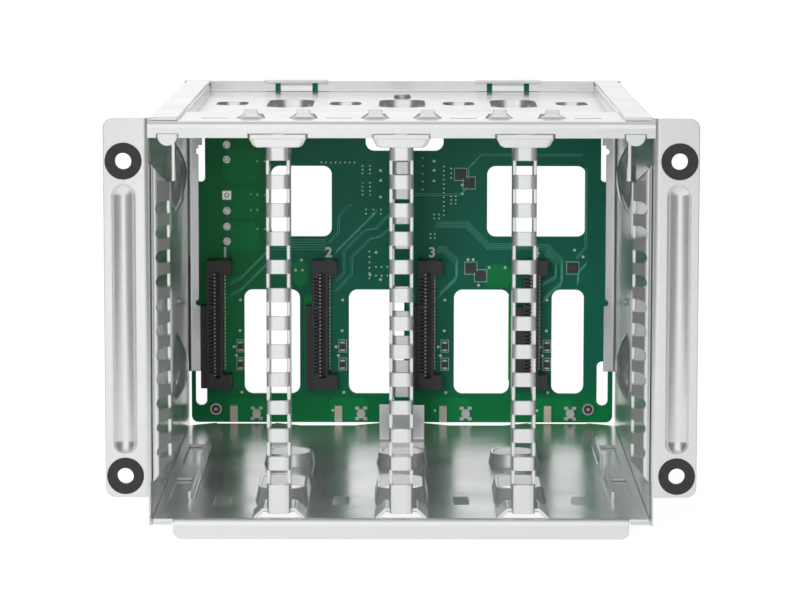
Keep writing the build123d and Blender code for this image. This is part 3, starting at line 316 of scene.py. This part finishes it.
to_left = (-track_step, track_step / 3)
downward = (-track_step / 3, -track_step)
straight_down = (0, -0.85)
bundles = (                  # how many tracks, the step between them, and the way of the first
    (2, to_left, [(-17.2, 76.7), (-18.5, 76.7), (-22, 72.6), (-22, 67.1), (-25.5, 63.4)]),
    (3, downward, [(-8.6, 75.4), (-13.5, 70.5), (-23, 61)]),
    (2, to_left, [(-4.2, 73.4), (-9, 68.4), (-12.7, 68), (-20.1, 60.7), (-20.1, 52.9), (-23, 50)]),
    (2, to_left, [(-4.1, 68.4), (-7.8, 65.5), (-10.7, 65), (-17.4, 58.4), (-17.4, 52.5),
                  (-23, 46.3)]),
    (3, downward, [(-46.8, 61.3), (-56.3, 51.8), (-60, 50)]),
    (3, downward, [(-46.8, 57.1), (-56.7, 47.3), (-60, 45.8)]),
    (5, straight_down, [(-45.5, 64.6), (-26.4, 64.6)]),
    (2, downward, [(63, 94.8), (27.7, 94.8), (23.3, 90.3), (23.3, 86)]),
    (2, downward, [(4.6, 80.9), (20.3, 80.9), (22.9, 83.3)]),
    (4, downward, [(12.1, 71), (22.9, 71), (30.6, 63.3), (46, 63.3), (51.1, 63.1), (56.3, 57.8),
                   (56.3, 50.3), (50, 44.6)]),
    (3, downward, [(50.2, 60.9), (54.1, 56.9), (54.1, 52.1), (49.6, 49.7)]),
    (4, downward, [(12.5, 62.2), (15.1, 62.2), (19.4, 57.8), (19.4, 52.1), (13.5, 46.4)]),
    (2, to_left, [(64.6, 90), (64.6, 62), (61.4, 58)]),
    (3, downward, [(64.8, 56.8), (61.9, 53.9), (61.9, 50)]),
)
tracks = [
    ([(x + n * step_x, z + n * step_z) for x, z in way], False)
    for count, (step_x, step_z), way in bundles for n in range(count)
]
track_green = dull_finish("track_green", (0.06, 0.42, 0.28, 1), (0.2, 0.65, 0.5, 1), 0.4,
                          scale=300, detail=2, relief=0)
board_lines("signal_tracks", tracks, track_width, track_green)

# Through-holes of the board: small tinned rings that join its layers, in rows by the chips and
# singly along the drive connectors.
hole_radius, large_hole_radius = 0.34, 0.544
hole_thickness, hole_taper = 0.12, 0.8
facing_front = Matrix.Rotation(math.pi / 2, 4, "X")


def add_disc(shape, middle, radius, thickness, sides, taper=1):
    """Disc that faces the front, in millimetres round a point, added to a shape."""
    bmesh.ops.create_cone(
        shape, cap_ends=True, segments=sides, radius1=radius * mm, radius2=radius * mm * taper,
        depth=thickness * mm, matrix=Matrix.Translation(middle) @ facing_front,
    )


def board_dots(name, places, radius, material, proud=0, sides=10):
    """Flat round dots on the board, or that far before it."""
    shape = bmesh.new()
    for x, z in places:
        middle = on_board(x, z, proud + hole_thickness / 2)
        add_disc(shape, middle, radius, hole_thickness, sides, hole_taper)
    return keep_shape(name, shape, material)


hole_rows = (                # lowest x, holes across, their step; lowest z, holes up, their step
    (-28.3, 8, 1.65, 91.8, 1, 1), (-13.9, 2, 2.6, 88, 3, 1.3), (-13.9, 2, 2.6, 80.5, 4, 1.4),
    (-12.7, 3, 2.6, 73.8, 2, 1.5), (-11.5, 1, 1, 51, 6, 1.9), (-9.2, 3, 2, 52, 2, 3.1),
    (7.1, 1, 1, 82.4, 5, 2.75), (14.5, 1, 1, 73.4, 12, 1.55), (17.1, 2, 1.6, 77.4, 3, 1.3),
    (11.2, 2, 1.7, 72.2, 2, 1.4), (17.1, 1, 1, 86.5, 3, 1.6), (9.9, 2, 1.5, 65.3, 2, 1.4),
    (-53, 2, 2.3, 75.1, 2, 5.5), (-50.7, 2, 2.6, 68.4, 3, 11.9),
)
small_holes = [
    (x + i * x_step, z + k * z_step)
    for x, x_count, x_step, z, z_count, z_step in hole_rows
    for i in range(x_count) for k in range(z_count)
]
single_holes = [
    (-7.6, 79.7), (-7.6, 85.5), (-7.6, 89), (11.1, 85.4), (11.1, 89.1), (11.1, 92.3), (21, 84),
    (21, 80.9), (30.5, 54.9), (36.1, 54.9), (23.1, 57.7), (24.9, 57.7), (60.4, 61.1), (63.4, 58.7),
    (26.8, 48.6), (-35.3, 57.5), (-37.4, 53.9), (-35, 53.9), (-9.2, 60.2), (-11.3, 52.3),
    (-7.6, 50.6),
]
bay_holes = [
    (x + bay * print_pitch, z) for bay in range(4)
    for x, z in ((-56.8, 43.4), (-57, 32.5), (-59.1, 26.8), (-58.3, 23.7), (-56.4, 10.6), (-60.2, 4.2))
]
hole_tin = dull_finish("hole_tin", (0.7, 0.82, 0.72, 1), (0.85, 0.95, 0.87, 1), 0.4)
board_dots("small_through_holes", small_holes, hole_radius, hole_tin)
board_dots("large_through_holes", single_holes + bay_holes, large_hole_radius, hole_tin)

# Soldered pads of the power socket: pale tinned rings, one of them square, round the greyer ends of
# the six pins that come through the board from behind.
pad_radius, pin_radius, pad_sides = 1.6, 0.95, 24
pad_x, square_pad_z = -61.4, 80.3
square_corner = 0.15
pad_proud, pin_proud = 0.5, 0.6        # from the board to the backs of the rings and of the pin ends
pad_tin = zinc_steel("pad_tin", (0.88, 0.97, 0.9, 1), 0.25, 0.36)
round_pads = [(pad_x, z) for z in (98, 92.8, 74.8, 69.3, 64.1)]
board_dots("power_pads", round_pads, pad_radius, pad_tin, pad_proud, pad_sides)
board_plates(
    "square_power_pad",
    [(pad_x - pad_radius, pad_x + pad_radius, square_pad_z - pad_radius, square_pad_z + pad_radius)],
    pad_tin, pin_proud, square_corner,
)
board_dots("power_pin_ends", round_pads + [(pad_x, square_pad_z)], pin_radius, bright_tin,
           pin_proud, pad_sides)

# White print of the board: the bay's number over each connector and a thin frame round each chip
# and each two-pin part, printed in white ink on the mask.
number_height, number_boldness, number_thickness = 4.9, 0.16, 0.04
number_x, number_z, number_proud = -62.1, 58.6, 0.05
number_pitch = 36.3
frame_line = 0.3
chip_frame, part_frame = (4.3, 4.3), (2.7, 4.3)
chip_places = [(20.4, 87.7), (23.4, 84.7), (24.1, 54.7), (27.5, 52), (59.8, 54.8)]
part_places = [(-56.8 + bay * print_pitch, z) for bay in range(4) for z in (27.1, 20.7)]
white_print = dull_finish("white_print", (0.8, 0.82, 0.8, 1), (0.88, 0.9, 0.88, 1), 0.5)
for bay in range(4):
    words = bpy.data.curves.new("number", "FONT")
    words.body = str(bay + 1)
    words.size = number_height * mm
    words.extrude = number_thickness * mm
    words.offset = number_boldness * mm
    words.align_x = "CENTER"
    drawn = bpy.data.objects.new("number_drawn", words)
    data = bpy.data.meshes.new_from_object(drawn)
    bpy.data.objects.remove(drawn)
    foot = on_board(number_x + bay * number_pitch, number_z, number_proud)
    data.transform(Matrix.Translation(foot) @ facing_front)
    keep_mesh(f"bay_number_{bay + 1}", data, white_print)
frames = [
    ([(x + a * width / 2, z + b * height / 2) for a, b in ((-1, -1), (1, -1), (1, 1), (-1, 1))], True)
    for places, (width, height) in ((chip_places, chip_frame), (part_places, part_frame))
    for x, z in places
]
board_lines("part_frames", frames, frame_line, white_print)

# Two-pin parts: small dark ceramic bodies with a tinned cap at each end, soldered upright on the
# board, two in every bay.
part_width, part_height, part_proud = 1.5, 2.1, 1.4
cap_width, cap_height, cap_proud = 1.6, 0.55, 1.45
cap_distance = 1.3           # from the middle of a body to the middle of each cap
part_edge = 0.12


def board_blocks(name, places, width, height, proud, material):
    """Small blocks of one size standing on the board, with rounded edges."""
    shape = bmesh.new()
    for x, z in places:
        add_block(shape, (width, proud, height), on_board(x, z, proud / 2))
    round_edges(shape, part_edge, 2)
    return keep_shape(name, shape, material)


dark_part = dull_finish("dark_part", (0.04, 0.045, 0.04, 1), (0.07, 0.08, 0.07, 1), 0.4)
part_bodies = board_blocks("part_bodies", part_places, part_width, part_height, part_proud,
                           dark_part)
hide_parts("two_pin_parts")
cap_places = [(x, z + side * cap_distance) for x, z in part_places for side in (-1, 1)]
board_blocks("part_caps", cap_places, cap_width, cap_height, cap_proud,
             hole_tin)

# Pressed plates of the post heads: the middle of each steel head is pushed forward inside a narrow
# rim, narrower at its foot than at its top.
plate_top, plate_foot, plate_height = 15.6, 12.8, 2.6
plate_proud, plate_edge = 0.35, 0.25
head_rim = 1.4               # from the top of a head down to the top of its pressed plate
plates = bmesh.new()
for n in (1, 2, 3):
    low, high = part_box(f"divider_post_{n}")
    corners = bmesh.ops.create_cube(plates, size=mm)["verts"]
    bmesh.ops.scale(plates, verts=corners, vec=(plate_top, 2 * plate_proud, plate_height))
    foot = [v for v in corners if v.co.z < 0]
    bmesh.ops.scale(plates, verts=foot, vec=(plate_foot / plate_top, 1, 1))
    middle = (low[0] + high[0]) / 2, low[1], high[2] - (head_rim + plate_height / 2) * mm
    bmesh.ops.translate(plates, verts=corners, vec=middle)
round_edges(plates, plate_edge, 3)
keep_shape("head_plates", plates, bright_zinc)

# Contact springs: a row of small tinned tongues down the left side of each drive connector's slot,
# pushed into the plastic from behind.
springs = 29
spring_pitch = 1.27
spring_width, spring_depth, spring_height = 0.7, 1.6, 0.6
spring_edge = 0.1
spring_sink = 0.4            # from the front of the connector back to the tongues
slot_left = 6.2              # from the right side of the end blocks to the left side of the slot
tongues = bmesh.new()
for bay in range(4):
    low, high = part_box(f"drive_connector_{bay + 1}")
    for n in range(springs):
        add_block(tongues, (spring_width, spring_depth, spring_height), (
            high[0] + (spring_width / 2 - slot_left) * mm,
            low[1] + (spring_sink + spring_depth / 2) * mm,
            (low[2] + high[2]) / 2 + (n - (springs - 1) / 2) * spring_pitch * mm,
        ))
round_edges(tongues, spring_edge, 1)
keep_shape("contact_springs", tongues, bright_tin)

# Sockets of the two board screws: a dark ring of painted shade in the middle of each steel head,
# standing in for the shadow down in the socket's recess, round a light centre.
socket_sides = 24
socket_parts = (             # share of the head's radius, and how far it stands out
    # the dark ring is painted shade: a thin black disc where the socket lies in shadow
    ("socket_shade", 0.72, 0.05, black_plastic),
    ("screw_centre", 0.3, 0.1, rivet_steel),
)
screw_low, screw_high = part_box("board_screws")
screw_z = (screw_low[2] + screw_high[2]) / 2
head_radius = (screw_high[2] - screw_low[2]) / 2
for side, x in (("left", screw_low[0] + head_radius), ("right", screw_high[0] - head_radius)):
    for name, share, proud, material in socket_parts:
        socket = bmesh.new()
        middle = (x, screw_low[1] - proud * mm / 2, screw_z)
        add_disc(socket, middle, head_radius / mm * share, proud, socket_sides)
        keep_shape(f"{side}_{name}", socket, material)

# Lower returns of the side walls: strips folded in under the floor, which close its side openings
# from below. Bent from the walls' own steel and spot-welded to the floor.
return_low, return_high = 64.8, 73.4        # from the middle of the cage
return_start, return_end = 27, 145          # from the front of the walls
return_level, return_thickness, return_edge = 4.65, 0.8, 0.15
strips = bmesh.new()
wall_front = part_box("left_side_wall")[0][1]
for side in (-1, 1):
    add_block(strips, (return_high - return_low, return_end - return_start, return_thickness), (
        side * (return_low + return_high) / 2 * mm,
        wall_front + (return_start + return_end) / 2 * mm,
        return_level * mm,
    ))
round_edges(strips, return_edge, 2)
keep_shape("wall_returns", strips, floor_zinc)

# The white table that the cage stands on. The camera sees it as plain white, with only a faint
# shadow round the lips, and steel sees it white in front of the cage and darker far to the sides.
table_half, table_roughness = 6, 0.9
table_paint, watched_paint = (0.86, 0.86, 0.86, 1), (0.2, 0.2, 0.2, 1)
table_glow = 0.88            # as the camera sees it
table_tones = (
    (0, 0.05), (0.33, 0.06), (0.41, 0.8), (0.45, 0.79), (0.55, 0.68), (0.6, 0.58), (0.68, 0.06),
)


def shade(ramp, tones):
    """Set the grey tones of a colour ramp, as pairs of position and brightness."""
    while len(ramp.color_ramp.elements) < len(tones):
        ramp.color_ramp.elements.new(0.5)
    for stop, (position, tone) in zip(ramp.color_ramp.elements, tones):
        stop.position = position
        stop.color = (tone, tone, tone, 1)


def watching_rays(add):
    """Whether a ray comes from the camera, and whether it is mirrored or seen through glass."""
    path = add("ShaderNodeLightPath")
    mirrored = add("ShaderNodeMath", {
        0: path.outputs["Is Glossy Ray"], 1: path.outputs["Is Transmission Ray"],
    }, operation="MAXIMUM")
    return path.outputs["Is Camera Ray"], mirrored.outputs[0]


floor_shape = bmesh.new()
bmesh.ops.create_grid(floor_shape, x_segments=1, y_segments=1, size=table_half)
floor_data = bpy.data.meshes.new("floor")
floor_shape.to_mesh(floor_data)
floor_shape.free()
floor = bpy.data.objects.new("floor", floor_data)
bpy.context.collection.objects.link(floor)
floor_material, shader, add, join = new_material("white_floor")
shader.inputs["Roughness"].default_value = table_roughness
shader.inputs["Specular IOR Level"].default_value = 0
shader.inputs["Emission Color"].default_value = (1, 1, 1, 1)
by_camera, mirrored = watching_rays(add)
watched = add("ShaderNodeMath", {0: by_camera, 1: mirrored}, operation="MAXIMUM").outputs[0]
paint = add("ShaderNodeMixRGB", {"Fac": watched, "Color1": table_paint, "Color2": watched_paint})
join(paint.outputs["Color"], "Base Color")
place = add("ShaderNodeSeparateXYZ", {0: add("ShaderNodeTexCoord").outputs["Object"]})
across = add("ShaderNodeMapRange", {"Value": place.outputs["X"], "From Min": -1, "From Max": 1})
table_tone = add("ShaderNodeValToRGB", {0: across.outputs[0]})
shade(table_tone, table_tones)
glow = add("ShaderNodeMix", {"Factor": mirrored, 2: table_glow, 3: table_tone.outputs["Color"]})
strength = add("ShaderNodeMath", {0: watched, 1: glow.outputs[0]}, operation="MULTIPLY")
join(strength.outputs[0], "Emission Strength")
floor_data.materials.append(floor_material)

# Soft studio light: a white room that gets darker overhead and to the sides, as steel sees it, and
# one large lamp at the front left for the dull pieces inside, which steel doesn't mirror.
side_tones = (
    (0, 0.08), (0.2, 0.15), (0.37, 1.15), (0.5, 1.05), (0.6, 0.92), (0.75, 0.15), (1, 0.08),
)
upward_tones = ((0, 1), (0.78, 1), (0.93, 0.62), (1, 0.5))
room_light, room_white = (0.8, 0.8, 0.8, 1), (1, 1, 1, 1)      # as dull pieces and the camera see it
lamp_place, lamp_target = Vector((-0.35, -1.5, 0.35)), Vector((0, 0, 0.06))
lamp_size, lamp_power = 0.8, 13
world = bpy.data.worlds.new("studio")
bpy.context.scene.world = world
world.use_nodes = True
add = node_adder(world.node_tree)
direction = add("ShaderNodeSeparateXYZ", {0: add("ShaderNodeTexCoord").outputs["Generated"]})


def room_tone(axis, low, tones):
    """Brightness along one axis of the room, as a ramp from low to 1."""
    place = add("ShaderNodeMapRange", {"Value": direction.outputs[axis], "From Min": low})
    ramp = add("ShaderNodeValToRGB", {0: place.outputs[0]})
    shade(ramp, tones)
    return ramp.outputs["Color"]


room = add("ShaderNodeMixRGB", {
    "Fac": 1, "Color1": room_tone("X", -1, side_tones), "Color2": room_tone("Z", 0, upward_tones),
}, blend_type="MULTIPLY")
by_camera, mirrored = watching_rays(add)
steel_view = add("ShaderNodeMixRGB", {
    "Fac": mirrored, "Color1": room_light, "Color2": room.outputs["Color"],
})
seen = add("ShaderNodeMixRGB", {
    "Fac": by_camera, "Color1": steel_view.outputs["Color"], "Color2": room_white,
})
world.node_tree.links.new(
    seen.outputs["Color"], world.node_tree.nodes["Background"].inputs["Color"])
lamp_data = bpy.data.lights.new("front_lamp", "AREA")
lamp_data.shape = "SQUARE"
lamp_data.size = lamp_size
lamp_data.energy = lamp_power
lamp = bpy.data.objects.new("front_lamp", lamp_data)
lamp.location = lamp_place
lamp.rotation_euler = (lamp_target - lamp_place).to_track_quat("-Z", "Y").to_euler()
lamp.visible_glossy = False
bpy.context.collection.objects.link(lamp)

# Camera at the photograph's place and angle: straight before the open front, a little above the
# cage and tipped down to it, with hardly any turn or roll.
camera_place = (0.00181, -1.16842, 0.20220)
camera_turn, camera_tip, camera_roll = 0.00204873, 0.12077876, 0.00104036
camera_film, camera_lens = 36, 162.206      # width of the film and length of the lens, millimetres
camera_data = bpy.data.cameras.new("camera")
camera_data.sensor_width = camera_film
camera_data.lens = camera_lens
camera_data.clip_start = 0.01
camera = bpy.data.objects.new("camera", camera_data)
camera.location = camera_place
turn = (
    Matrix.Rotation(camera_turn, 4, "Z")
    @ Matrix.Rotation(math.pi / 2 - camera_tip, 4, "X")
    @ Matrix.Rotation(camera_roll, 4, "Z")
)
camera.rotation_euler = turn.to_euler()
bpy.context.collection.objects.link(camera)
bpy.context.scene.camera = camera
bpy.context.scene.view_settings.view_transform = "Standard"
